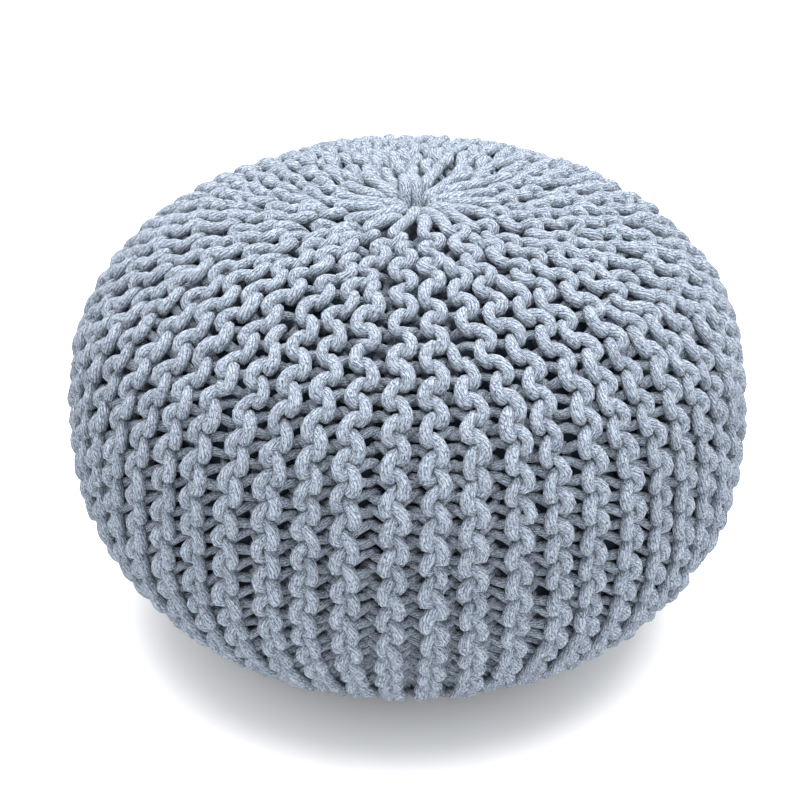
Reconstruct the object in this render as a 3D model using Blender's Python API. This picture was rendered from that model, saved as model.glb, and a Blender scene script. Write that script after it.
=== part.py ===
"""Knitted pouf: a chunky garter-stitch cover over a filled bag, drawn in at the middle of the top.

Metres, +Z up. The origin is on the floor, under the middle of the pouf.
The pouf is a turned form. Above its widest ring the profile is one superellipse, below it another,
and the underside is cut flat where it rests. The cover's ridges run from pole to pole.
"""
import math

import bpy

# Outer form, measured over the tops of the ridges
RADIUS = 0.250            # at the widest ring
CROWN_HEIGHT = 0.187      # from the widest ring up to the crown
CROWN_POWER = 2.74        # superellipse power: 2 is round, more is squarer
BELLY_DEPTH = 0.174       # from the widest ring down to where the round form would end
BELLY_POWER = 2.17
BASE_DEPTH = 0.165        # from the widest ring down to the flat it rests on

# Cover
COVER_THICKNESS = 0.022
RIDGES = 54               # ridges of the knitting round the widest ring
POLE_RIDGES = 18          # of those, how many reach the poles (the others are short rows)
VALLEY_DEPTH = 0.007      # how far a valley lies below its ridges
SHORT_ROW_END = 0.33      # share of the way from pole to widest ring where the short rows start
SHORT_ROW_RISE = 0.30     # share over which their ridges rise
RIDGE_FADE = 0.12         # share over which the ridges rise from nothing near the hole and the flat
DIMPLE_DEPTH = 0.006      # the drawn-in middle of the top
DIMPLE_RADIUS = 0.040
TROUGH_DEPTH = 0.007      # the hollow behind the hole, where the cord's end lies
TROUGH_HALF_WIDTH = 0.014
TROUGH_LENGTH = 0.052
HOLE_RADIUS = 0.0105      # the hole that the drawn-in edge leaves
NEAR_HOLE_RADII = (0.017, 0.025, 0.035, 0.048)

# Unevenness of the outer form: one row for each wave round the pouf
WAVES = (
    {"count": 2, "depth": 0.0010, "turn": 0.6},
    {"count": 3, "depth": 0.0008, "turn": 2.1},
    {"count": 5, "depth": 0.0005, "turn": 4.0},
)

# Bag and cord
GAP = 0.0005              # between pieces
CORD_HALF_WIDTH = 0.0088  # two strands side by side
CORD_HALF_HEIGHT = 0.0048
CORD_BEND = 0.011         # radius of the bend over the rim of the hole
CORD_BACK = 0.038         # how far behind the hole the bundle starts
CORD_OVER_RIM = 0.002     # height of the bend's centre over the rim

# Mesh fineness
CROWN_ROWS = 9
BELLY_ROWS = 8
COARSE_SIDES = 2 * POLE_RIDGES
FINE_SIDES = 2 * RIDGES
CORD_SIDES = 14
CORD_BEND_STEPS = 8
CORD_RUN_STEPS = 4
SHARP_ANGLE = math.radians(40)

COLOURS = {
    "knitted_cover": ((0.30, 0.35, 0.42, 1.0), 0.95),
    "inner_bag": ((0.030, 0.045, 0.070, 1.0), 0.80),
    "draw_cord": ((0.30, 0.35, 0.42, 1.0), 0.95),
}


def clear_scene():
    for item in list(bpy.data.objects):
        bpy.data.objects.remove(item, do_unlink=True)


def make_material(name):
    colour, roughness = COLOURS[name]
    material = bpy.data.materials.new(name)
    material.use_nodes = True
    shader = material.node_tree.nodes["Principled BSDF"]
    shader.inputs["Base Color"].default_value = colour
    shader.inputs["Roughness"].default_value = roughness
    shader.inputs["Metallic"].default_value = 0.0
    return material


def crown_point(share, inset):
    """Point (radius, height) above the widest ring; share runs from 0 at the pole to 1 at that ring."""
    angle = share * math.pi / 2
    power = 2 / CROWN_POWER
    radius = (RADIUS - inset) * math.sin(angle) ** power
    height = (CROWN_HEIGHT - inset) * math.cos(angle) ** power
    return radius, BASE_DEPTH + height


def belly_point(share, inset):
    """Point (radius, height) below the widest ring; share runs from 0 at that ring to 1 at the flat."""
    power = 2 / BELLY_POWER
    depth = BELLY_DEPTH - inset
    cut = (BASE_DEPTH - inset) / depth
    angle = share * math.asin(cut ** (1 / power))
    radius = (RADIUS - inset) * math.cos(angle) ** power
    height = -depth * math.sin(angle) ** power
    return radius, BASE_DEPTH + height


def crown_share(radius, inset):
    """Share at which the crown's profile has this radius."""
    return math.asin((radius / (RADIUS - inset)) ** (CROWN_POWER / 2)) / (math.pi / 2)


def profile(inset, near_hole=()):
    """Rows of the turned form from the hole to the flat: share of the way, radius and height.

    near_hole gives the radii of extra rows round the hole.
    """
    shares = [crown_share(radius, inset) for radius in (HOLE_RADIUS, *near_hole)]
    for step in range(1, CROWN_ROWS):
        shares.append(shares[len(near_hole)] + (1 - shares[len(near_hole)]) * step / CROWN_ROWS)
    rows = [(share, *crown_point(share, inset)) for share in shares]
    for step in range(BELLY_ROWS + 1):
        share = step / BELLY_ROWS
        rows.append((1 + share, *belly_point(share, inset)))
    return rows


def normal_at(rows, index):
    """Outward normal (radial, vertical) of the profile at one row."""
    before = rows[max(index - 1, 0)]
    after = rows[min(index + 1, len(rows) - 1)]
    run = after[1] - before[1]
    rise = after[2] - before[2]
    length = math.hypot(run, rise)
    return -rise / length, run / length


def ridge_fade(share):
    """How far the ridges stand: nothing at the hole and at the flat, full between."""
    from_hole = share / RIDGE_FADE
    from_flat = (2 - share) / RIDGE_FADE
    return max(0.0, min(1.0, from_hole - 1, from_flat))


def groove(side, sides, share):
    """How deep this side of a ring lies: 0 on a ridge, 1 in a valley.

    Where only the long rows reach, every other side is a valley. On the fine rings each long ridge
    opens into three, so the groove passes from one wave for every six sides to one for every two.
    """
    if sides == COARSE_SIDES:
        return side % 2
    long_rows = 1 - abs(side % 6 - 3) / 3
    all_rows = side % 2
    rise = min(1.0, (min(share, 2 - share) - SHORT_ROW_END) / SHORT_ROW_RISE)
    return long_rows + (all_rows - long_rows) * rise


def unevenness(angle, share):
    """How far the outer form is pressed in at this angle; it dies out at the poles."""
    total = 0.0
    for wave in WAVES:
        total += wave["depth"] * (1 - math.cos(wave["count"] * angle + wave["turn"])) / 2
    return total * math.sin(math.pi * share / 2)


def dimple(radius):
    return DIMPLE_DEPTH * math.exp(-(radius / DIMPLE_RADIUS) ** 2)


def trough(across, back):
    """Depth of the hollow for the cord's end at a place this far across and behind the hole."""
    if not 0 < back < TROUGH_LENGTH:
        return 0.0
    return TROUGH_DEPTH * math.exp(-(across / TROUGH_HALF_WIDTH) ** 2) * math.cos(
        math.pi / 2 * (back / TROUGH_LENGTH) ** 3
    )


def ring(radius, height, sides):
    return [
        (radius * math.cos(2 * math.pi * side / sides), radius * math.sin(2 * math.pi * side / sides), height)
        for side in range(sides)
    ]


def outer_ring(rows, index, sides):
    """One ring of the cover's outside, sunk where it passes a valley."""
    share, radius, height = rows[index]
    out, up = normal_at(rows, index)
    points = []
    for side in range(sides):
        angle = 2 * math.pi * side / sides
        sink = unevenness(angle, share) + VALLEY_DEPTH * groove(side, sides, share) * ridge_fade(share)
        across = (radius - out * sink) * math.cos(angle)
        back = (radius - out * sink) * math.sin(angle)
        level = height - up * sink
        if share < 1:
            level -= dimple(radius) + trough(across, back)
        points.append((across, back, max(level, 0.0)))
    return points


class Mesh:
    """Points and faces gathered ring by ring."""

    def __init__(self):
        self.points = []
        self.faces = []

    def add_ring(self, points):
        first = len(self.points)
        self.points.extend(points)
        return list(range(first, first + len(points)))

    def join(self, upper, lower):
        """Faces between two rings whose outside faces away from the axis when upper lies above lower."""
        if len(upper) == len(lower):
            for side in range(len(upper)):
                after = (side + 1) % len(upper)
                self.faces.append((upper[side], lower[side], lower[after], upper[after]))
        elif len(upper) < len(lower):
            self.fan(upper, lower, False)
        else:
            self.fan(lower, upper, True)

    def fan(self, coarse, fine, turned):
        """Four triangles for each side of the coarse ring, which has a third of the fine ring's sides."""
        for side in range(len(coarse)):
            here = coarse[side]
            after = coarse[(side + 1) % len(coarse)]
            thirds = [fine[(3 * side + step) % len(fine)] for step in range(4)]
            for face in (
                (here, thirds[0], thirds[1]),
                (here, thirds[1], after),
                (after, thirds[1], thirds[2]),
                (after, thirds[2], thirds[3]),
            ):
                self.faces.append(face[::-1] if turned else face)

    def cap(self, loop, up):
        self.faces.append(tuple(loop) if up else tuple(reversed(loop)))

    def make(self, name):
        data = bpy.data.meshes.new(name)
        data.from_pydata(self.points, [], self.faces)
        data.materials.append(make_material(name))
        data.shade_smooth()
        data.set_sharp_from_angle(angle=SHARP_ANGLE)
        item = bpy.data.objects.new(name, data)
        bpy.context.scene.collection.objects.link(item)
        return item


def ring_sides(share):
    """Coarse rings where only the long rows reach, fine rings between."""
    if SHORT_ROW_END < share < 2 - SHORT_ROW_END:
        return FINE_SIDES
    return COARSE_SIDES


def make_cover():
    """The knitted cover: a thick shell with ridges outside and a hole in the middle of the top."""
    mesh = Mesh()
    outside = profile(0.0, NEAR_HOLE_RADII)
    rings = []
    for index, row in enumerate(outside):
        rings.append(mesh.add_ring(outer_ring(outside, index, ring_sides(row[0]))))
    for upper, lower in zip(rings, rings[1:]):
        mesh.join(upper, lower)
    mesh.cap(rings[-1], False)

    inner_rings = []
    for share, radius, height in profile(COVER_THICKNESS):
        inner_rings.append(mesh.add_ring(ring(radius, height, COARSE_SIDES)))
    for upper, lower in zip(inner_rings, inner_rings[1:]):
        mesh.join(lower, upper)
    mesh.cap(inner_rings[-1], True)

    mesh.join(inner_rings[0], rings[0])
    return mesh.make("knitted_cover")


def make_bag():
    """The filled bag: the same form as the cover's inside, a gap smaller, with a closed top."""
    mesh = Mesh()
    rings = []
    for share, radius, height in profile(COVER_THICKNESS + GAP):
        rings.append(mesh.add_ring(ring(radius, height, COARSE_SIDES)))
    mesh.cap(rings[0], True)
    for upper, lower in zip(rings, rings[1:]):
        mesh.join(upper, lower)
    mesh.cap(rings[-1], False)
    return mesh.make("inner_bag")


def cord_route():
    """Points (back, height): up through the hole from the bag, over the rim, and back along the dimple."""
    bottom = crown_point(crown_share(HOLE_RADIUS, COVER_THICKNESS), COVER_THICKNESS)[1] + GAP
    rim = crown_point(crown_share(HOLE_RADIUS, 0.0), 0.0)[1] - dimple(HOLE_RADIUS) - trough(0.0, HOLE_RADIUS)
    bend_level = rim + CORD_OVER_RIM
    route = [(0.0, bottom), (0.0, (bottom + bend_level) / 2)]
    for step in range(CORD_BEND_STEPS + 1):
        angle = step / CORD_BEND_STEPS * math.pi / 2
        back = CORD_BEND * (1 - math.cos(angle))
        route.append((back, bend_level + CORD_BEND * math.sin(angle)))
    cover_level = crown_point(crown_share(CORD_BACK, 0.0), 0.0)[1] - dimple(CORD_BACK) - trough(0.0, CORD_BACK)
    start_level = bend_level + CORD_BEND
    end_level = cover_level + CORD_HALF_HEIGHT + 2 * GAP
    for step in range(1, CORD_RUN_STEPS + 1):
        share = step / CORD_RUN_STEPS
        back = CORD_BEND + (CORD_BACK - CORD_BEND) * share
        route.append((back, start_level + (end_level - start_level) * share))
    return route


def cord_ring(route, index):
    """One oval ring of the bundle, square to its route."""
    before = route[max(index - 1, 0)]
    after = route[min(index + 1, len(route) - 1)]
    run = after[0] - before[0]
    rise = after[1] - before[1]
    length = math.hypot(run, rise)
    back, level = route[index]
    points = []
    for side in range(CORD_SIDES):
        angle = 2 * math.pi * side / CORD_SIDES
        across = CORD_HALF_WIDTH * math.cos(angle)
        over = CORD_HALF_HEIGHT * math.sin(angle)
        points.append((across, back - over * rise / length, level + over * run / length))
    return points


def make_cord():
    """The end of the drawing cord: a short flat bundle over the rim of the hole."""
    mesh = Mesh()
    route = cord_route()
    rings = [mesh.add_ring(cord_ring(route, index)) for index in range(len(route))]
    for lower, upper in zip(rings, rings[1:]):
        mesh.join(lower, upper)
    mesh.cap(rings[0], True)
    mesh.cap(rings[-1], False)
    return mesh.make("draw_cord")


clear_scene()
make_cover()
make_bag()
make_cord()
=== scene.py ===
import math
import time

import bpy
import numpy as np
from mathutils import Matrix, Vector


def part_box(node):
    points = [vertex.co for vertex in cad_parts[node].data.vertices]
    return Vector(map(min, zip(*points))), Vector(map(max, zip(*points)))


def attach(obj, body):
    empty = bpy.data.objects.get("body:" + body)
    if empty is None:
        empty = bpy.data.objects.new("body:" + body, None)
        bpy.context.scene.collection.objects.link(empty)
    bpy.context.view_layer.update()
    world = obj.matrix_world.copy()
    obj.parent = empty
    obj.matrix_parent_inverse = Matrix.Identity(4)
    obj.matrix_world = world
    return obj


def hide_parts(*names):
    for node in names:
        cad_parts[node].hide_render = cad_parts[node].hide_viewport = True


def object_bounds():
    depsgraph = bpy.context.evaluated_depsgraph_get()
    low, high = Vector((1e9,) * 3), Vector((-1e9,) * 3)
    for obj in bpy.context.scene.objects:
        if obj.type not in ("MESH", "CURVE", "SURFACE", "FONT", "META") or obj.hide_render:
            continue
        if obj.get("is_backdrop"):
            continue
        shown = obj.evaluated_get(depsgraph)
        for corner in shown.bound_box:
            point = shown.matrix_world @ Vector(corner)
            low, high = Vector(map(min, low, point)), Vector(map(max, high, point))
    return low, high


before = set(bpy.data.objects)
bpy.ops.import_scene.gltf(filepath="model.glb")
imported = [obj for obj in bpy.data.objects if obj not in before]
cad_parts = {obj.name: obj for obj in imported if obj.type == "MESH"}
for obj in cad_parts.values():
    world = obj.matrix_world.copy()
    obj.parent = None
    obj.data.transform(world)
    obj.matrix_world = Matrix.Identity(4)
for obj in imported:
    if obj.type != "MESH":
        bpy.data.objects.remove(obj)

# A knitted pouf: a chunky garter-stitch cover over a dark filled bag, drawn in with a cord at the top.
# Each ridge of the knitting is one strand, two courses that loop through their neighbours.
# Lengths are in metres.

startTime = time.time()
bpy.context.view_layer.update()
coverLow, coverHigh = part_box("knitted_cover")
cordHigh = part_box("draw_cord")[1]


def report(text):
    print(f"pouf: {text} ({time.time() - startTime:.1f} s)", flush=True)


form = {
    "radius": (coverHigh.x - coverLow.x) / 2 + 0.0007,
    "middle": 0.165,            # height of the widest ring above the floor
    "crownTop": coverHigh.z + 0.0022,
    "crownPower": 2.74,         # 2 is round, more is squarer
    "bellyDepth": 0.174,        # the belly would reach this far down if the floor did not flatten it
    "bellyPower": 2.17,
    "dimpleDepth": 0.006,
    "dimpleRadius": 0.040,
    "waves": ((2, 0.0010, 0.6), (3, 0.0008, 2.1), (5, 0.0005, 4.0)),   # lobes, depth, turn
    # radii from the top, degrees round from the front, height
    "bulges": ((1.30, -97, 0.0085), (1.40, 85, 0.0030), (1.0, 180, 0.002)),
    "bulgeLong": 0.42,          # reach of a bulge along the form, in radii
    "bulgeWide": 44,            # and round it, in degrees
    "lean": 0.0050,             # the middle of the top sits this far to the right
    "traced": 4001,             # points on the outline as it is first drawn
    "places": 1601,             # and once they are spaced evenly
    "soften": 30,               # places on either side that a normal is averaged over
}


def turnedForm():
    # the outer surface as distance from the top, radius, height and the outward normal
    radius, middle = form["radius"], form["middle"]
    crownHeight = form["crownTop"] - middle
    angle = np.linspace(0, math.pi, form["traced"])
    upper = angle <= math.pi / 2
    reach = np.where(upper, crownHeight, form["bellyDepth"])
    power = np.where(upper, form["crownPower"], form["bellyPower"])
    wide, tall = np.sin(angle) / radius, np.abs(np.cos(angle)) / reach
    size = (wide ** power + tall ** power) ** (-1 / power)
    across = size * np.sin(angle)
    height = middle + size * np.cos(angle)
    height -= np.where(upper, form["dimpleDepth"] * np.exp(-(across / form["dimpleRadius"]) ** 2), 0)
    height = np.maximum(height, 0)
    along = np.concatenate([[0], np.cumsum(np.hypot(np.diff(across), np.diff(height)))])
    even = np.linspace(0, along[-1], form["places"])
    across, height = np.interp(even, along, across), np.interp(even, along, height)
    slopeAcross, slopeUp = np.gradient(across, even), np.gradient(height, even)
    soften = form["soften"]
    kernel = np.hanning(2 * soften + 1)
    kernel = kernel / kernel.sum()
    normals = []
    for part, edge in ((-slopeUp, (0, 0)), (slopeAcross, (1, -1))):
        padded = np.concatenate([np.full(soften, edge[0]), part, np.full(soften, edge[1])])
        normals.append(np.convolve(padded, kernel, "valid"))
    return even, across, height, normals[0], normals[1]


formAlong, formAcross, formHeight, formOut, formUp = turnedForm()
formLength = formAlong[-1]


def placeOnForm(along, turn, lift):
    # turn 0 faces the front (-Y) and grows towards +X; lift is outwards from the surface
    across = np.interp(along, formAlong, formAcross) + lift * np.interp(along, formAlong, formOut)
    height = np.interp(along, formAlong, formHeight) + lift * np.interp(along, formAlong, formUp)
    for lobes, depth, shift in form["waves"]:
        pressed = depth * (1 - np.cos(lobes * turn + shift)) / 2 * np.sin(math.pi * along / formLength)
        across = across - pressed * np.interp(along, formAlong, formOut)
    for place, middle, rise in form["bulges"]:
        wide = (np.degrees(turn) - middle + 180) % 360 - 180
        distant = ((along / form["radius"] - place) / form["bulgeLong"]) ** 2
        swell = rise * np.exp(-distant - (wide / form["bulgeWide"]) ** 2)
        across = across + swell * np.interp(along, formAlong, formOut)
        height = height + swell * np.interp(along, formAlong, formUp)
    raised = np.clip((height - form["middle"]) / (form["crownTop"] - form["middle"]), 0, 1)
    lean = form["lean"] * raised ** 2
    return np.stack([across * np.sin(turn) + lean, -across * np.cos(turn), height], -1)


def outwards(along, turn):
    # unit normal of the form
    out, up = np.interp(along, formAlong, formOut), np.interp(along, formAlong, formUp)
    way = np.stack([out * np.sin(turn), -out * np.cos(turn), up], -1)
    return way / np.linalg.norm(way, axis=-1, keepdims=True)


stitch = {
    "yarnWidth": 0.0090,
    "valleyWidth": 0.0061,      # the yarn is pulled thinner between the ridges
    "slack": (1.40, 3.72),      # yarn in one stitch, as shares of its width and of its reach
    "points": 20,
    "overlap": 0.95,            # share of a course that loops reach into the next one
    "overlapLeast": 0.0095,
    "narrowest": 0.014,         # a ridge is settled no narrower than this
    "swing": 0.2,               # how far a loop leans over its neck before it settles, of its width
    "threeFold": 0.0044,        # in and out of the fabric, three times in a stitch
    "oneFold": 0.0040,          # and once
    "contact": 0.0056,          # strands nearer than this push each other
    "skipContacts": 1.5,        # unless they are this near along the same strand
    "pushes": (0.1, 1.0, 1.9),  # down, across, out: crossing strands go over each other
    "pushShare": 0.6,           # share of each correction that one round makes
    "bendShare": 0.25,
    "lengthShare": 0.35,
    "lengthRounds": 6,
    "rounds": 400,
    "halfDepth": 0.0090,        # strands stay this near to the middle of the fabric
    "droop": 0.90,              # a settled loop's outer side hangs down by this share of its height
    "lifted": 0.22,             # and its deepest side is lifted by this share of its depth
}


def settleStitch(width, course):
    # One stitch of two neighbouring courses, repeated for ever, pushed apart where strands touch and
    # smoothed at a fixed yarn length until it lies as knitting does.
    # x runs down, y across the ridges and z outwards.
    count = stitch["points"]
    turn = np.arange(count) / count * 2 * math.pi
    even = turn * width / (2 * math.pi)
    reach = (course + max(stitch["overlapLeast"], stitch["overlap"] * course)) / 2
    strands = []
    for side, start in ((-1, 0.0), (1, course)):
        down = even + stitch["swing"] * width * np.sin(2 * turn)
        out = side * (stitch["threeFold"] * np.cos(3 * turn) + stitch["oneFold"] * np.cos(turn))
        strands.append(np.stack([down, start - reach * np.cos(turn), out], 1))
    points = np.stack(strands)
    step = (stitch["slack"][0] * width + stitch["slack"][1] * reach) / count
    images = np.array([(i * width, j * 2 * course, 0) for i in (-2, -1, 0, 1, 2) for j in (-1, 0, 1)])
    order = np.arange(count)
    skip = max(2, round(stitch["skipContacts"] * stitch["contact"] / step))
    # pairs that follow each other on the same strand do not push
    near = np.zeros((len(images), 2 * count, 2 * count), bool)
    for index, (down, across, _) in enumerate(images):
        if across == 0:
            apart = np.abs(order[:, None] - order[None] - round(down / width) * count) <= skip
            near[index, :count, :count] = apart
            near[index, count:, count:] = apart
    wrap = np.array([width, 0, 0])

    def following(path):
        moved = np.roll(path, -1, axis=1)
        moved[:, -1] += wrap
        return moved

    def leading(path):
        moved = np.roll(path, 1, axis=1)
        moved[:, 0] -= wrap
        return moved

    for _ in range(stitch["rounds"]):
        flat = points.reshape(-1, 3)
        apart = flat[None, :, None] - (flat[None, None] + images[:, None, None])
        distance = np.linalg.norm(apart, axis=3) + 1e-9
        touching = (distance < stitch["contact"]) & ~near
        share = np.where(touching, (stitch["contact"] - distance) * 0.5 / distance, 0)
        push = (apart * share[..., None]).sum((0, 2)) * stitch["pushes"]
        touches = np.maximum(touching.sum((0, 2)), 1)[:, None]
        points = points + (push / np.sqrt(touches)).reshape(points.shape) * stitch["pushShare"]
        bend = (following(points) + leading(points)) / 2 - points
        around = (np.roll(bend, -1, 1) + np.roll(bend, 1, 1)) / 2
        points = points + stitch["bendShare"] * (bend - around)
        for _ in range(stitch["lengthRounds"]):
            link = following(points) - points
            length = np.linalg.norm(link, axis=2, keepdims=True)
            pull = link * (1 - step / length) * stitch["lengthShare"]
            points = points + pull - np.roll(pull, 1, 1)
        points[..., 2] = np.clip(points[..., 2], -stitch["halfDepth"], stitch["halfDepth"])
        points[..., 0] -= points[..., 0].mean() - even.mean()
        points[0, :, 1] -= points[0, :, 1].mean()
        points[1, :, 1] -= points[1, :, 1].mean() - course
    points[..., 0] += stitch["droop"] * np.maximum(points[..., 2], 0)
    points[..., 0] += stitch["lifted"] * np.minimum(points[..., 2], 0)
    points[..., 0] /= width
    points[..., 1] /= 2 * course
    points[..., 2] -= points[..., 2].max() + stitch["yarnWidth"] / 2
    return points


cover = {
    "panels": 9,
    "ridgesInPanel": 6,
    # where each ridge of a panel begins, in stitches from the middle
    "firstStitch": (2, 7, 4, 2, 5, 3),
    "stitchLength": 0.089,      # of the radius
    "crownExtra": 0.026,        # stitches are stretched longest on the shoulder
    "crownPlace": 0.62,         # this many radii from the top
    "crownSpread": 0.33,
    "firstCourse": 0.25,        # place of a ridge's first course in its width
    "opening": 2.4,             # a short row's ridge opens out over this many stitches
    "turnBulge": 0.42,          # how far its yarn swings out where it turns back, in stitches
    "turnPoints": 8,
    "stations": 8,              # stitches are settled at this many places from top to bottom
    "stationEdge": 2.0,         # the first and the last are this many stitches from the middles
    "seed": 11,
    "wander": 0.055,            # drift of a ridge to the side, in ridges
    "wanderPasses": 2,
    "slip": 0.035,              # and of each stitch along it, in stitches
    "swell": 0.0009,            # and out of the surface
}
# the strands round the hole
star = {
    "firstStitch": 2,           # ridges that begin this near to the middle run on to the hole
    "reach": 0.50,              # to this many stitches from the middle
    "shortReach": 1.15,         # and every second one to this many
    "depth": 0.016,             # and dive this deep
    "crest": 0.001,             # before they dive, their yarn lies this far under the surface
    "points": 9,
    "divePoints": 3,
    "fatter": 0.20,             # the share by which their yarn is thicker
    "fatWithin": 0.055,         # this near to the middle
    "fatFade": 0.03,
}
ridgeCount = cover["panels"] * cover["ridgesInPanel"]


def stitchScale():
    # stitches counted from the top at each distance along the form, a whole number in all
    share = formAlong / form["radius"]
    shoulder = np.exp(-((share - cover["crownPlace"]) / cover["crownSpread"]) ** 2)
    length = cover["stitchLength"] + cover["crownExtra"] * shoulder
    steps = np.diff(formAlong) / (form["radius"] * (length[1:] + length[:-1]) / 2)
    counted = np.concatenate([[0], np.cumsum(steps)])
    return counted * round(counted[-1]) / counted[-1]


stitchesAlong = stitchScale()
stitchTotal = int(round(stitchesAlong[-1]))
firstStitches = np.array(cover["firstStitch"] * cover["panels"])
reachesHole = firstStitches <= star["firstStitch"]
rowStep = 0.25              # the table of turns has a row at every quarter stitch


def toAlong(stitches):
    return np.interp(stitches, stitchesAlong, formAlong)


def ridgeTurns():
    # the turn of every valley, row by row; a ridge opens out gradually where it begins
    table = []
    for row in np.arange(0, stitchTotal + rowStep, rowStep):
        fromEnd = min(row, stitchTotal - row)
        opened = np.clip((fromEnd - firstStitches + cover["opening"] / 2) / cover["opening"], 0, 1)
        opened = opened * opened * (3 - 2 * opened)
        opened = np.where(reachesHole, 1.0, opened)
        edge = np.concatenate([[0], np.cumsum(opened)])
        table.append(edge / edge[-1] * 2 * math.pi)
    return np.array(table)


turnTable = ridgeTurns()


def toTurn(ridge, stitches):
    # turn at a fractional ridge number and a number of stitches from the top
    whole = np.floor(ridge).astype(int)
    part = ridge - whole
    laps = np.floor_divide(whole, ridgeCount)
    inside = whole - laps * ridgeCount
    row = np.clip(stitches, 0, stitchTotal) / rowStep
    low = np.clip(np.floor(row).astype(int), 0, len(turnTable) - 2)
    mix = row - low
    left = turnTable[low, inside] * (1 - mix) + turnTable[low + 1, inside] * mix
    right = turnTable[low, inside + 1] * (1 - mix) + turnTable[low + 1, inside + 1] * mix
    return left + (right - left) * part + laps * 2 * math.pi


def stationStitches():
    # settled stitches at a few places from top to bottom
    places = np.linspace(cover["stationEdge"], stitchTotal - cover["stationEdge"], cover["stations"])
    shapes = []
    for place in places:
        along = toAlong(place)
        width = toAlong(place + 0.5) - toAlong(place - 0.5)
        across = np.interp(along, formAlong, formAcross)
        valleys = toTurn(np.array([0.0, 1.0]), np.array([place, place]))
        spacing = max(across * (valleys[1] - valleys[0]), stitch["narrowest"])
        shapes.append(settleStitch(width, spacing / 2))
    return places, np.array(shapes)


def smoothNoise(rng, rows, columns, passes):
    # a random table with a row for each ridge or course, smoothed along the rows
    table = rng.normal(size=(rows, columns))
    for _ in range(passes):
        table[:, 1:-1] = (table[:, :-2] + 2 * table[:, 1:-1] + table[:, 2:]) / 4
    return table / table.std()


def layCourses():
    # each ridge is one closed strand: down one course, round, and back up the next
    rng = np.random.default_rng(cover["seed"])
    places, shapes = stationStitches()
    report("stitches settled")
    count = stitch["points"]
    sway = smoothNoise(rng, ridgeCount, stitchTotal + 2, cover["wanderPasses"])
    swell = smoothNoise(rng, ridgeCount, stitchTotal + 2, 0)
    slip = smoothNoise(rng, 2 * ridgeCount, stitchTotal + 2, 0)
    strands = []
    for ridge in range(ridgeCount):
        first = firstStitches[ridge]
        last = stitchTotal - first
        sides = []
        for course in (0, 1):
            numbers = np.repeat(np.arange(first, last), count)
            phases = np.tile(np.arange(count), last - first)
            numbers = np.append(numbers, last)
            phases = np.append(phases, 0)
            where = numbers + phases / count
            station = np.interp(where, places, np.arange(len(places)))
            low = np.minimum(station.astype(int), len(places) - 2)
            mix = (station - low)[:, None]
            shape = shapes[low, course, phases] * (1 - mix) + shapes[low + 1, course, phases] * mix
            # both courses of a ridge share the same slow drift, so they stay hooked together
            here, ahead = sway[ridge, numbers], sway[ridge, np.minimum(numbers + 1, last)]
            drift = here * (1 - phases / count) + ahead * phases / count
            down = numbers + shape[:, 0] + cover["slip"] * slip[2 * ridge + course, numbers]
            across = ridge + cover["firstCourse"] + shape[:, 1] + cover["wander"] * drift
            lift = shape[:, 2] + cover["swell"] * swell[ridge, numbers]
            sides.append(np.stack([down, across, lift], 1))
        strands.append(joinCourses(sides, ridge))
    return strands


def joinCourses(sides, ridge):
    # turns at both ends; a ridge that reaches the hole dives there and comes back
    lower, upper = sides
    ends = []
    for start, stop, way in ((lower[-1], upper[-1], 1), (upper[0], lower[0], -1)):
        if reachesHole[ridge]:
            inner = star["reach"] if ridge % 2 else star["shortReach"]
            inner = inner if way < 0 else stitchTotal - inner
            middle = ridge + 0.5
            high = (inner, middle, -stitch["yarnWidth"] / 2 - star["crest"])
            low = (inner, middle, -star["depth"])
            turning = (high, low) if way < 0 else (low, high)
            knots = np.array([start, turning[0], turning[1], stop])
            parts = []
            for part, steps in enumerate((star["points"], star["divePoints"], star["points"])):
                share = (np.arange(steps) / steps)[:, None]
                parts.append(knots[part] + (knots[part + 1] - knots[part]) * share)
            arc = np.concatenate(parts)[1:]
        else:
            bulge = np.linspace(0, math.pi, cover["turnPoints"])[1:-1]
            arc = start + (stop - start) * (1 - np.cos(bulge))[:, None] / 2
            arc[:, 0] += way * cover["turnBulge"] * np.sin(bulge)
        ends.append(arc)
    return np.concatenate([lower, ends[0], upper[::-1], ends[1]])


settle = {
    "rounds": 30,
    "contact": 0.0052,
    "lookFurther": 0.0012,      # touching strands are looked for a little beyond contact
    "lookEvery": 7,             # and found again after this many rounds
    "skip": 3,                  # points this near in order on the same strand do not push
    "sideways": 0.4,            # strands that touch slide over each other more than they part
    "pushShare": 0.6,
    "bendShare": 0.15,
    "lengthShare": 0.35,
    "lengthRounds": 3,
    "shortest": 0.0026,         # a link of the yarn between two points
    "longest": 0.0048,
    "hold": 0.14,               # pull back towards the laid place
    "deepest": 0.0230,          # the bag stops the yarn here
    "crest": 0.001,             # the yarn may stand this far out of the form
    "jitter": 0.0011,
    "jitterPasses": 4,
}


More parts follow.
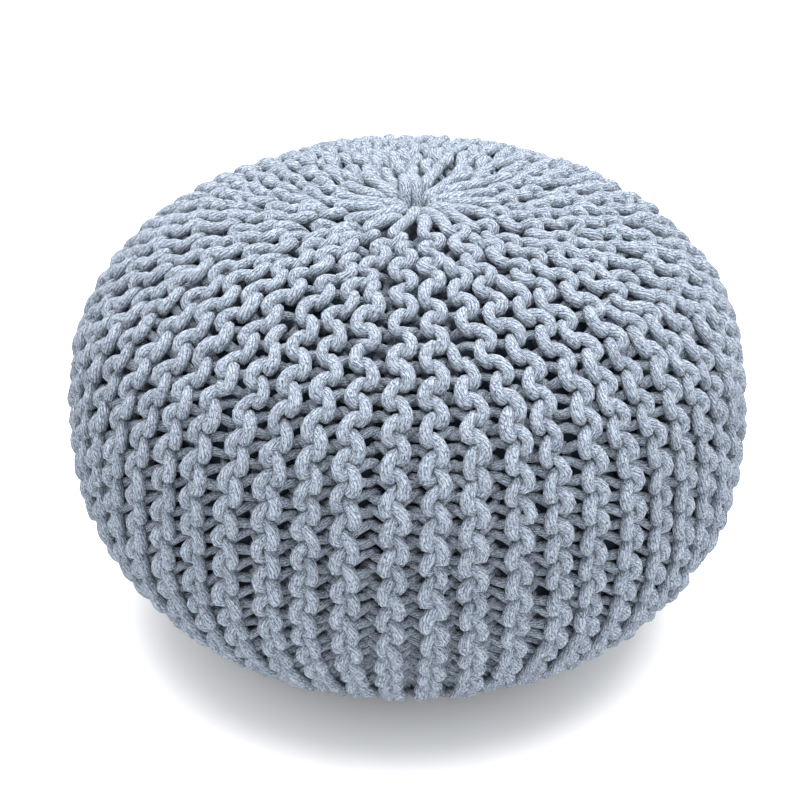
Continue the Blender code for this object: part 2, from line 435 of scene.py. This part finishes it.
def touchingPairs(points, strandOf, placeOf, lengthOf, reach, skip):
    # pairs of points of the yarn nearer than reach, found through a grid of cells of that size;
    # a neighbouring cell is an offset in the key, and half of the offsets find every pair once
    cells = np.floor((points - points.min(0)) / reach).astype(np.int64) + 1
    size = cells.max(0) + 2
    key = (cells[:, 0] * size[1] + cells[:, 1]) * size[2] + cells[:, 2]
    order = np.argsort(key, kind="stable")
    sortedKey = key[order]
    firsts, seconds = [], []
    near = (-1, 0, 1)
    offsets = [(i * size[1] + j) * size[2] + k for i in near for j in near for k in near]
    for offset in sorted(offset for offset in offsets if offset >= 0):
        begin = np.searchsorted(sortedKey, key + offset, "left")
        stop = np.searchsorted(sortedKey, key + offset, "right")
        number = stop - begin
        first = np.repeat(np.arange(len(points)), number)
        base = np.repeat(begin - np.concatenate([[0], np.cumsum(number)[:-1]]), number)
        second = order[base + np.arange(len(first))]
        if offset == 0:
            keep = first < second
            first, second = first[keep], second[keep]
        apart = points[first] - points[second]
        keep = (apart * apart).sum(1) < reach * reach
        first, second = first[keep], second[keep]
        gap = np.abs(placeOf[first] - placeOf[second])
        gap = np.minimum(gap, lengthOf[first] - gap)
        keep = (strandOf[first] != strandOf[second]) | (gap > skip)
        firsts.append(first[keep])
        seconds.append(second[keep])
    return np.concatenate(firsts), np.concatenate(seconds)


def settleCover(strands):
    # pushes apart the strands that touch, keeps the yarn's length and smooths its bends, all round
    rng = np.random.default_rng(cover["seed"] + 1)
    sizes = np.array([len(s) for s in strands])
    laid = np.concatenate(strands)
    along, turn = toAlong(laid[:, 0]), toTurn(laid[:, 1], laid[:, 0])
    points = placeOnForm(along, turn, laid[:, 2])
    skin = placeOnForm(along, turn, np.zeros(len(laid)))
    normal = outwards(along, turn)
    strandOf = np.repeat(np.arange(len(strands)), sizes)
    starts = np.concatenate([[0], np.cumsum(sizes)[:-1]])
    placeOf = np.arange(len(laid)) - starts[strandOf]
    lengthOf = sizes[strandOf]
    after = np.arange(len(laid)) + 1
    after[starts + sizes - 1] = starts
    before = np.empty_like(after)
    before[after] = np.arange(len(laid))
    rest = np.linalg.norm(points[after] - points, axis=1)
    rest = np.clip(rest, settle["shortest"], settle["longest"])
    home = points + settle["jitter"] * rng.normal(size=points.shape)
    # the jitter is smoothed along the yarn, but not the yarn itself
    kept = points - (points[before] + 2 * points + points[after]) / 4
    for _ in range(settle["jitterPasses"]):
        home = (home[before] + 2 * home + home[after]) / 4 + kept
    reach = settle["contact"] + settle["lookFurther"]
    for lap in range(settle["rounds"]):
        if lap % settle["lookEvery"] == 0:
            first, second = touchingPairs(points, strandOf, placeOf, lengthOf, reach, settle["skip"])
        apart = points[first] - points[second]
        distance = np.sqrt((apart * apart).sum(1)) + 1e-9
        near = distance < settle["contact"]
        one, other = first[near], second[near]
        push = apart[near] * ((settle["contact"] - distance[near]) * 0.5 / distance[near])[:, None]
        touches = np.bincount(one, minlength=len(points)) + np.bincount(other, minlength=len(points))
        moved = np.stack([
            np.bincount(one, way, len(points)) - np.bincount(other, way, len(points))
            for way in push.T], 1)
        over = (moved * normal).sum(1)[:, None] * normal
        moved = settle["sideways"] * moved + (2 - 2 * settle["sideways"]) * over
        points = points + moved / np.sqrt(np.maximum(touches, 1))[:, None] * settle["pushShare"]
        bend = (points[after] + points[before]) / 2 - points
        points = points + settle["bendShare"] * (bend - (bend[after] + bend[before]) / 2)
        points = points + settle["hold"] * (home - points)
        for _ in range(settle["lengthRounds"]):
            link = points[after] - points
            length = np.sqrt((link * link).sum(1))
            pull = link * ((1 - rest / length) * settle["lengthShare"])[:, None]
            points = points + pull - pull[before]
        lift = ((points - skin) * normal).sum(1)
        allowed = np.clip(lift, -settle["deepest"], -stitch["yarnWidth"] / 2 + settle["crest"])
        points = points + normal * (allowed - lift)[:, None]
    lift = ((points - skin) * normal).sum(1)
    runs = [slice(start, start + size) for start, size in zip(starts, sizes)]
    return [points[run] for run in runs], [lift[run] for run in runs]


yarn = {
    "sides": 8,
    "thickness": 1.0,           # scales the widths that the strands carry
    "thinsOver": 1.4,           # it thins towards the valleys over this many half depths
    "lumps": 0.06,              # share by which its thickness wanders
    "lumpSpread": 1.7,          # more makes the lumps smaller
    "lumpMost": 2,              # none is more than this many times the usual
    "seed": 5,
    "floorGap": 0.0002,         # yarn that would dip into the floor is pressed flat this far above
}


def yarnTree(material):
    # a strand's points and edges become a round yarn that carries its own length and angle
    tree = bpy.data.node_groups.new("yarnStrand", "GeometryNodeTree")
    tree.interface.new_socket("Geometry", in_out="INPUT", socket_type="NodeSocketGeometry")
    tree.interface.new_socket("Sides", in_out="INPUT", socket_type="NodeSocketInt")
    tree.interface.new_socket("Thickness", in_out="INPUT", socket_type="NodeSocketFloat")
    tree.interface.new_socket("Geometry", in_out="OUTPUT", socket_type="NodeSocketGeometry")
    new, link = tree.nodes.new, tree.links.new
    groupIn, groupOut = new("NodeGroupInput"), new("NodeGroupOutput")
    toCurve = new("GeometryNodeMeshToCurve")
    link(groupIn.outputs["Geometry"], toCurve.inputs["Mesh"])
    runs = new("GeometryNodeCaptureAttribute")
    runs.capture_items.new("FLOAT", "Runs")
    link(toCurve.outputs["Curve"], runs.inputs["Geometry"])
    link(new("GeometryNodeSplineParameter").outputs["Length"], runs.inputs["Runs"])
    circle = new("GeometryNodeCurvePrimitiveCircle")
    circle.inputs["Radius"].default_value = 0.5
    link(groupIn.outputs["Sides"], circle.inputs["Resolution"])
    around = new("GeometryNodeCaptureAttribute")
    around.capture_items.new("FLOAT", "Around")
    link(circle.outputs["Curve"], around.inputs["Geometry"])
    link(new("GeometryNodeSplineParameter").outputs["Factor"], around.inputs["Around"])
    girth = new("GeometryNodeInputNamedAttribute")
    girth.data_type = "FLOAT"
    girth.inputs["Name"].default_value = "girth"
    scale = new("ShaderNodeMath")
    scale.operation = "MULTIPLY"
    link(girth.outputs["Attribute"], scale.inputs[0])
    link(groupIn.outputs["Thickness"], scale.inputs[1])
    tube = new("GeometryNodeCurveToMesh")
    link(runs.outputs["Geometry"], tube.inputs["Curve"])
    link(around.outputs["Geometry"], tube.inputs["Profile Curve"])
    link(scale.outputs[0], tube.inputs["Scale"])
    tube.inputs["Fill Caps"].default_value = True
    angle = new("ShaderNodeMath")
    angle.operation = "MULTIPLY"
    angle.inputs[1].default_value = 2 * math.pi
    link(around.outputs["Around"], angle.inputs[0])
    cosine, sine = new("ShaderNodeMath"), new("ShaderNodeMath")
    cosine.operation, sine.operation = "COSINE", "SINE"
    link(angle.outputs[0], cosine.inputs[0])
    link(angle.outputs[0], sine.inputs[0])
    together = new("ShaderNodeCombineXYZ")
    link(cosine.outputs[0], together.inputs["X"])
    link(sine.outputs[0], together.inputs["Y"])
    link(runs.outputs["Runs"], together.inputs["Z"])
    store = new("GeometryNodeStoreNamedAttribute")
    store.data_type = "FLOAT_VECTOR"
    store.inputs["Name"].default_value = "yarnWay"
    link(tube.outputs["Mesh"], store.inputs["Geometry"])
    link(together.outputs["Vector"], store.inputs["Value"])
    smooth = new("GeometryNodeSetShadeSmooth")
    link(store.outputs["Geometry"], smooth.inputs["Geometry"])
    real = new("GeometryNodeRealizeInstances")
    link(smooth.outputs["Geometry"], real.inputs["Geometry"])
    finish = new("GeometryNodeSetMaterial")
    finish.inputs["Material"].default_value = material
    link(real.outputs["Geometry"], finish.inputs["Geometry"])
    link(finish.outputs["Geometry"], groupOut.inputs["Geometry"])
    return tree


def socketIdentifier(tree, name):
    for item in tree.interface.items_tree:
        if item.item_type == "SOCKET" and item.in_out == "INPUT" and item.name == name:
            return item.identifier
    raise KeyError(name)


def makeYarn(name, tree, paths, girths, closed, sides):
    # paths are arrays of points, girths their widths; the result is a plain mesh at the origin
    points = np.concatenate(paths)
    edges = []
    start = 0
    for path in paths:
        order = np.arange(start, start + len(path))
        edges.append(np.stack([order[:-1], order[1:]], 1))
        if closed:
            edges.append(np.array([[order[-1], order[0]]]))
        start += len(path)
    edges = np.concatenate(edges)
    wire = bpy.data.meshes.new(name + "Wire")
    wire.from_pydata(points.tolist(), edges.tolist(), [])
    attribute = wire.attributes.new("girth", "FLOAT", "POINT")
    attribute.data.foreach_set("value", np.concatenate(girths).astype(np.float32))
    source = bpy.data.objects.new(name + "Source", wire)
    bpy.context.collection.objects.link(source)
    modifier = source.modifiers.new("Yarn", "NODES")
    modifier.node_group = tree
    modifier[socketIdentifier(tree, "Sides")] = sides
    modifier[socketIdentifier(tree, "Thickness")] = yarn["thickness"]
    depsgraph = bpy.context.evaluated_depsgraph_get()
    mesh = bpy.data.meshes.new_from_object(source.evaluated_get(depsgraph))
    bpy.data.objects.remove(source, do_unlink=True)
    mesh.name = name
    places = np.empty(len(mesh.vertices) * 3, np.float32)
    mesh.vertices.foreach_get("co", places)
    places[2::3] = np.maximum(places[2::3], yarn["floorGap"])
    mesh.vertices.foreach_set("co", places)
    mesh.update()
    piece = bpy.data.objects.new(name, mesh)
    bpy.context.collection.objects.link(piece)
    return piece


def makeFinish(name):
    material = bpy.data.materials.new(name)
    material.use_nodes = True
    nodes = material.node_tree.nodes
    return material, nodes, material.node_tree.links, nodes["Principled BSDF"]


def mathNode(nodes, links, operation, first, second=None):
    node = nodes.new("ShaderNodeMath")
    node.operation = operation
    for socket, value in zip(node.inputs, (first, second)):
        if value is None:
            continue
        if isinstance(value, (int, float)):
            socket.default_value = value
        else:
            links.new(value, socket)
    return node.outputs[0]


yarnFinish = {
    "colour": (0.292, 0.341, 0.416, 1.0),
    # the dark colour is the yarn's own dark fibres and flecks, and also painted shade in the grooves
    # between its strands
    "darkFibreAndGrooveShade": (0.034, 0.054, 0.090, 1.0),
    "paleFibre": (0.308, 0.356, 0.426, 1.0),
    "roughness": 0.95,
    "sheen": 0.12,
    "sheenRoughness": 0.6,
    "specular": 0.12,
    "strands": 11,              # thin strands laid side by side in the yarn
    "twist": 15.0,              # their turns per metre
    # patterns that follow the yarn: scale round it, scale along it, detail, roughness
    "fibres": (4.6, 420.0, 3.0, 0.7),
    "flecks": (6.0, 620.0, 1.0, 0.6),
    "fray": (3.0, 330.0, 2.0, 0.6),
    "lumps": (2.0, 150.0, 2.0, 0.6),
    # patterns in space: scale, detail, roughness
    "patches": (22.0, 3.0, 0.55),
    "mottle": (330.0, 3.0, 0.65),
    "paleFrom": (0.40, 0.68),   # fibres go from the colour to the pale one
    "fraying": 1.6,             # how much the painted shade lines in the grooves between the strands are split up
    # what is dark: where each pattern starts and ends, and how much of the dark colour it takes; the
    # grooves between the strands get painted shade, while the flecks, fibres and mottle are the yarn's
    # own dark colour
    "grooveShade": (0.36, 0.04, 0.64),
    "darkFlecks": (0.555, 0.62, 0.92),
    "darkFibres": (0.44, 0.26, 0.6),
    "darkMottle": (0.46, 0.34, 0.60),
    "patchShare": 0.20,
    "patchLeast": 0.90,
    "bumpStrength": 0.9,
    "bumpDistance": 0.0021,
    "strandRound": 0.5,         # below 1 the strands are fuller between their lines
    "strandBump": 0.30,
    "fibreBump": 0.6,
    "lumpBump": 0.9,
    "mottleBump": 1.2,
    "darkSink": 0.6,
}


def makeYarnFinish():
    material, nodes, links, shader = makeFinish("cottonYarn")
    shader.inputs["Roughness"].default_value = yarnFinish["roughness"]
    shader.inputs["Sheen Weight"].default_value = yarnFinish["sheen"]
    shader.inputs["Sheen Roughness"].default_value = yarnFinish["sheenRoughness"]
    shader.inputs["Specular IOR Level"].default_value = yarnFinish["specular"]
    way = nodes.new("ShaderNodeAttribute")
    way.attribute_name = "yarnWay"
    split = nodes.new("ShaderNodeSeparateXYZ")
    links.new(way.outputs["Vector"], split.inputs[0])
    runs = split.outputs["Z"]

    def calc(operation, first, second=None):
        return mathNode(nodes, links, operation, first, second)

    def noise(vector, scale, detail, roughness):
        node = nodes.new("ShaderNodeTexNoise")
        links.new(vector, node.inputs["Vector"])
        node.inputs["Scale"].default_value = scale
        node.inputs["Detail"].default_value = detail
        node.inputs["Roughness"].default_value = roughness
        return node.outputs["Fac"]

    def ramp(value, low, high):
        node = nodes.new("ShaderNodeMapRange")
        links.new(value, node.inputs["Value"])
        node.inputs["From Min"].default_value = low
        node.inputs["From Max"].default_value = high
        return node.outputs["Result"]

    def blend(first, second, factor):
        node = nodes.new("ShaderNodeMix")
        node.data_type = "RGBA"
        for socket, value in ((node.inputs["A"], first), (node.inputs["B"], second)):
            if isinstance(value, tuple):
                socket.default_value = value
            else:
                links.new(value, socket)
        links.new(factor, node.inputs["Factor"])
        return node.outputs["Result"]

    # the angle round the yarn, turned with the strands
    angle = calc("ARCTAN2", split.outputs["Y"], split.outputs["X"])
    turned = calc("ADD", angle, calc("MULTIPLY", runs, yarnFinish["twist"] * 2 * math.pi))

    def laidAlong(pattern):
        roundScale, alongScale, detail, roughness = yarnFinish[pattern]
        combine = nodes.new("ShaderNodeCombineXYZ")
        links.new(calc("MULTIPLY", calc("COSINE", turned), roundScale), combine.inputs["X"])
        links.new(calc("MULTIPLY", calc("SINE", turned), roundScale), combine.inputs["Y"])
        links.new(calc("MULTIPLY", runs, alongScale), combine.inputs["Z"])
        return noise(combine.outputs["Vector"], 1.0, detail, roughness)

    def darkPart(value, name):
        start, end, amount = yarnFinish[name]
        return calc("MULTIPLY", ramp(value, start, end), amount)

    def raised(value, name):
        return calc("MULTIPLY", value, yarnFinish[name])

    fibres, flecks, fray = laidAlong("fibres"), laidAlong("flecks"), laidAlong("fray")
    wave = calc("ABSOLUTE", calc("SINE", calc("MULTIPLY", turned, yarnFinish["strands"] / 2)))
    # where the wave is low, in the grooves between the strands, the colour is darkened below as painted
    # shade
    grooveShadeMask = calc("ADD", wave, calc("MULTIPLY", calc("SUBTRACT", fray, 0.5), yarnFinish["fraying"]))
    objectPlace = nodes.new("ShaderNodeTexCoord").outputs["Object"]
    patches = noise(objectPlace, *yarnFinish["patches"])
    mottle = noise(objectPlace, *yarnFinish["mottle"])

    colour = blend(yarnFinish["colour"], yarnFinish["paleFibre"], ramp(fibres, *yarnFinish["paleFrom"]))
    # the darkness mixes painted shade in the grooves between the strands with the yarn's own dark
    # flecks, fibres and mottle
    dark = calc("MAXIMUM", darkPart(grooveShadeMask, "grooveShade"), darkPart(flecks, "darkFlecks"))
    dark = calc("MAXIMUM", dark, darkPart(fibres, "darkFibres"))
    dark = calc("MAXIMUM", dark, darkPart(mottle, "darkMottle"))
    colour = blend(colour, yarnFinish["darkFibreAndGrooveShade"], dark)
    shade = nodes.new("ShaderNodeHueSaturation")
    links.new(colour, shade.inputs["Color"])
    value = calc("ADD", calc("MULTIPLY", patches, yarnFinish["patchShare"]), yarnFinish["patchLeast"])
    links.new(value, shade.inputs["Value"])
    links.new(shade.outputs["Color"], shader.inputs["Base Color"])

    height = raised(calc("POWER", wave, yarnFinish["strandRound"]), "strandBump")
    height = calc("ADD", height, raised(fibres, "fibreBump"))
    height = calc("ADD", height, raised(laidAlong("lumps"), "lumpBump"))
    height = calc("ADD", height, raised(mottle, "mottleBump"))
    height = calc("SUBTRACT", height, raised(dark, "darkSink"))
    bump = nodes.new("ShaderNodeBump")
    bump.inputs["Strength"].default_value = yarnFinish["bumpStrength"]
    bump.inputs["Distance"].default_value = yarnFinish["bumpDistance"]
    links.new(height, bump.inputs["Height"])
    links.new(bump.outputs["Normal"], shader.inputs["Normal"])
    return material


bagFinish = {
    "colour": (0.006, 0.016, 0.036, 1.0),
    "thread": (0.018, 0.036, 0.066, 1.0),
    "weave": 450.0,             # threads, as a wave's scale; the grain is twice as fine
    "unevenness": 0.4,
    "roughness": 0.8,
    "sheen": 0.15,
    "bumpStrength": 0.5,
    "bumpDistance": 0.0003,
}


def makeBagFinish():
    material, nodes, links, shader = makeFinish("bagCloth")
    shader.inputs["Roughness"].default_value = bagFinish["roughness"]
    shader.inputs["Sheen Weight"].default_value = bagFinish["sheen"]
    place = nodes.new("ShaderNodeTexCoord").outputs["Object"]
    weave = nodes.new("ShaderNodeTexWave")
    weave.bands_direction = "Z"
    links.new(place, weave.inputs["Vector"])
    weave.inputs["Scale"].default_value = bagFinish["weave"]
    weave.inputs["Distortion"].default_value = bagFinish["unevenness"]
    grain = nodes.new("ShaderNodeTexNoise")
    links.new(place, grain.inputs["Vector"])
    grain.inputs["Scale"].default_value = 2 * bagFinish["weave"]
    halves = [mathNode(nodes, links, "MULTIPLY", node.outputs["Fac"], 0.5) for node in (weave, grain)]
    both = mathNode(nodes, links, "ADD", *halves)
    mix = nodes.new("ShaderNodeMix")
    mix.data_type = "RGBA"
    mix.inputs["A"].default_value = bagFinish["colour"]
    mix.inputs["B"].default_value = bagFinish["thread"]
    links.new(both, mix.inputs["Factor"])
    links.new(mix.outputs["Result"], shader.inputs["Base Color"])
    bump = nodes.new("ShaderNodeBump")
    bump.inputs["Strength"].default_value = bagFinish["bumpStrength"]
    bump.inputs["Distance"].default_value = bagFinish["bumpDistance"]
    links.new(both, bump.inputs["Height"])
    links.new(bump.outputs["Normal"], shader.inputs["Normal"])
    return material


yarnMaterial = makeYarnFinish()
bagMaterial = makeBagFinish()
strandTree = yarnTree(yarnMaterial)

strands = layCourses()
report(f"{len(strands)} strands laid, {stitchTotal} stitches from top to bottom")
settledPaths, settledLifts = settleCover(strands)
report("cover settled")


def coverPieces():
    # a piece for each panel, its yarn thinner in the valleys and fattest round the hole
    rng = np.random.default_rng(yarn["seed"])
    pieces = []
    ridges = cover["ridgesInPanel"]
    thinsOver = yarn["thinsOver"] * stitch["halfDepth"]
    for panel in range(cover["panels"]):
        paths, girths = [], []
        for ridge in range(panel * ridges, (panel + 1) * ridges):
            path = settledPaths[ridge]
            depth = np.clip((-settledLifts[ridge] - stitch["yarnWidth"] / 2) / thinsOver, 0, 1)
            girth = stitch["yarnWidth"] + (stitch["valleyWidth"] - stitch["yarnWidth"]) * depth
            fromMiddle = np.hypot(path[:, 0] - form["lean"], path[:, 1])
            nearHole = np.clip((star["fatWithin"] - fromMiddle) / star["fatFade"], 0, 1)
            girth = girth * (1 + star["fatter"] * nearHole)
            lumps = rng.normal(size=len(girth))
            lumps = (np.roll(lumps, 1) + lumps + np.roll(lumps, -1)) / yarn["lumpSpread"]
            paths.append(path)
            lumps = np.clip(lumps, -yarn["lumpMost"], yarn["lumpMost"])
            girths.append(girth * (1 + yarn["lumps"] * lumps))
        piece = makeYarn(f"knitPanel{panel + 1}", strandTree, paths, girths, True, yarn["sides"])
        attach(piece, "root")
        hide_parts("knitted_cover")
        pieces.append(piece)
    return pieces


knitPanels = coverPieces()
quads = sum(len(panel.data.polygons) for panel in knitPanels)
report(f"cover made, {2 * quads} triangles")

bag = {
    "depth": 0.0255,            # under the form
    "rings": 60,
    "sides": 96,
    "fill": 0.8,                # firmly stuffed
}


def makeBag():
    # rings laid inside the form from top to bottom, closed at both ends by a fan of faces
    sides, faces = bag["sides"], []
    alongs = np.linspace(0, formLength, bag["rings"] + 1)[1:-1]
    turns = np.arange(sides) / sides * 2 * math.pi
    under = np.full(sides, -bag["depth"])
    rings = [placeOnForm(np.full(sides, along), turns, under) for along in alongs]
    vertices = np.concatenate(rings).tolist()
    for row in range(len(alongs) - 1):
        here, below = row * sides, (row + 1) * sides
        for side in range(sides):
            after = (side + 1) % sides
            faces.append((here + side, below + side, below + after, here + after))
    for row, way in ((0, 1), (len(alongs) - 1, -1)):
        here = row * sides
        vertices.append(np.mean(np.array(vertices[here:here + sides]), 0).tolist())
        for side in range(sides):
            pair = (here + side, here + (side + 1) % sides)[::way]
            faces.append((len(vertices) - 1, *pair))
    mesh = bpy.data.meshes.new("innerBag")
    mesh.from_pydata(vertices, [], faces)
    mesh.shade_smooth()
    mesh.materials.append(bagMaterial)
    piece = bpy.data.objects.new("innerBag", mesh)
    bpy.context.collection.objects.link(piece)
    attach(piece, "root")
    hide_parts("inner_bag")


makeBag()
report("bag made")

cord = {
    "points": 24,
    "sides": 16,
    "width": 0.0084,
    "widthWander": 0.0006,
    "widthWaves": 9,            # radians from end to end
    "apart": 0.0042,            # each strand lies this far from the middle
    "apartWander": 0.0007,
    "apartWaves": 5,
    "sunk": 0.0046,             # middle of the strands under the top of the cord's box
    "slope": 0.004,             # and lower by this at the back end
    "tailShare": 0.35,          # the back end goes down into the cover over this share of its length
    "tailDepth": 0.013,
    "diveShare": 0.3,           # and the front end into the hole
    "diveDepth": 0.02,
}


def makeDrawCord():
    # two fat strands side by side, from behind the hole over its rim and down into it
    share = np.linspace(0, 1, cord["points"])
    tail = np.clip((cord["tailShare"] - share) / cord["tailShare"], 0, 1)
    dive = np.clip((share - 1 + cord["diveShare"]) / cord["diveShare"], 0, 1)
    height = cordHigh.z - cord["sunk"] - cord["slope"] * (1 - share) ** 2
    height = height - cord["diveDepth"] * dive ** 2 - cord["tailDepth"] * tail ** 2
    paths, girths = [], []
    for side in (-1, 1):
        apart = cord["apart"] + cord["apartWander"] * np.cos(cord["apartWaves"] * share + side)
        wander = np.cos(np.linspace(0, cord["widthWaves"], cord["points"]) + side)
        paths.append(np.stack([side * apart, cordHigh.y * (1 - share), height], 1))
        girths.append(cord["width"] + cord["widthWander"] * wander)
    piece = makeYarn("drawCord", strandTree, paths, girths, False, cord["sides"])
    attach(piece, "root")
    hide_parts("draw_cord")


makeDrawCord()
report("cord made")


studio = {
    "cameraDistance": 1.5,
    "cameraElevation": 30.03,
    "lens": 89.0,
    "sensor": 36,
    "aimRight": -0.0074,
    "aimUp": 0.0142,
    "floorSize": 14,
    "floorColour": (0.88, 0.885, 0.895, 1),
    "floorRoughness": 0.9,
    "floorSpecular": 0.1,
    "lightAim": (0, 0, 0.15),
    # place, size, watts, colour
    "topLight": ((0.12, 0.1, 2.0), 2.6, 122, (1.0, 0.99, 0.98)),
    "fillLight": ((0.7, -2.2, 0.8), 1.6, 11, (1.0, 1.0, 1.0)),
    "surround": 1.42,
}


def makeFloor():
    bpy.ops.mesh.primitive_plane_add(size=studio["floorSize"], location=(0, 0, 0))
    floor = bpy.context.object
    floor.name = "floor"
    material, _, _, shader = makeFinish("paleFloor")
    shader.inputs["Base Color"].default_value = studio["floorColour"]
    shader.inputs["Roughness"].default_value = studio["floorRoughness"]
    shader.inputs["Specular IOR Level"].default_value = studio["floorSpecular"]
    floor.data.materials.append(material)
    floor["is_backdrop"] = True


def makeLight(name):
    place, size, power, colour = studio[name]
    data = bpy.data.lights.new(name, "AREA")
    data.shape = "DISK"
    data.size = size
    data.energy = power
    data.color = colour
    light = bpy.data.objects.new(name, data)
    light.location = place
    towards = Vector(studio["lightAim"]) - Vector(place)
    light.rotation_euler = towards.to_track_quat("-Z", "Y").to_euler()
    bpy.context.collection.objects.link(light)


def makeSurround():
    world = bpy.data.worlds.new("studio")
    world.use_nodes = True
    background = world.node_tree.nodes["Background"]
    background.inputs["Color"].default_value = (1, 1, 1, 1)
    background.inputs["Strength"].default_value = studio["surround"]
    bpy.context.scene.world = world
    bpy.context.scene.view_settings.view_transform = "Standard"


def makeCamera():
    data = bpy.data.cameras.new("camera")
    data.lens = studio["lens"]
    data.sensor_width = studio["sensor"]
    camera = bpy.data.objects.new("camera", data)
    bpy.context.collection.objects.link(camera)
    elevation = math.radians(studio["cameraElevation"])
    back = Vector((0, -math.cos(elevation), math.sin(elevation)))
    turn = (-back).to_track_quat("-Z", "Y")
    right, up = turn @ Vector((1, 0, 0)), turn @ Vector((0, 1, 0))
    middle = Vector((0, 0, form["middle"]))
    camera.rotation_mode = "QUATERNION"
    camera.rotation_quaternion = turn
    camera.location = middle + back * studio["cameraDistance"]
    camera.location += right * studio["aimRight"] + up * studio["aimUp"]
    bpy.context.scene.camera = camera


makeFloor()
makeLight("topLight")
makeLight("fillLight")
makeSurround()
makeCamera()
report("floor, lights and camera placed")

newLow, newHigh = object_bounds()
report(f"box {[round(v, 4) for v in newLow]} to {[round(v, 4) for v in newHigh]}")
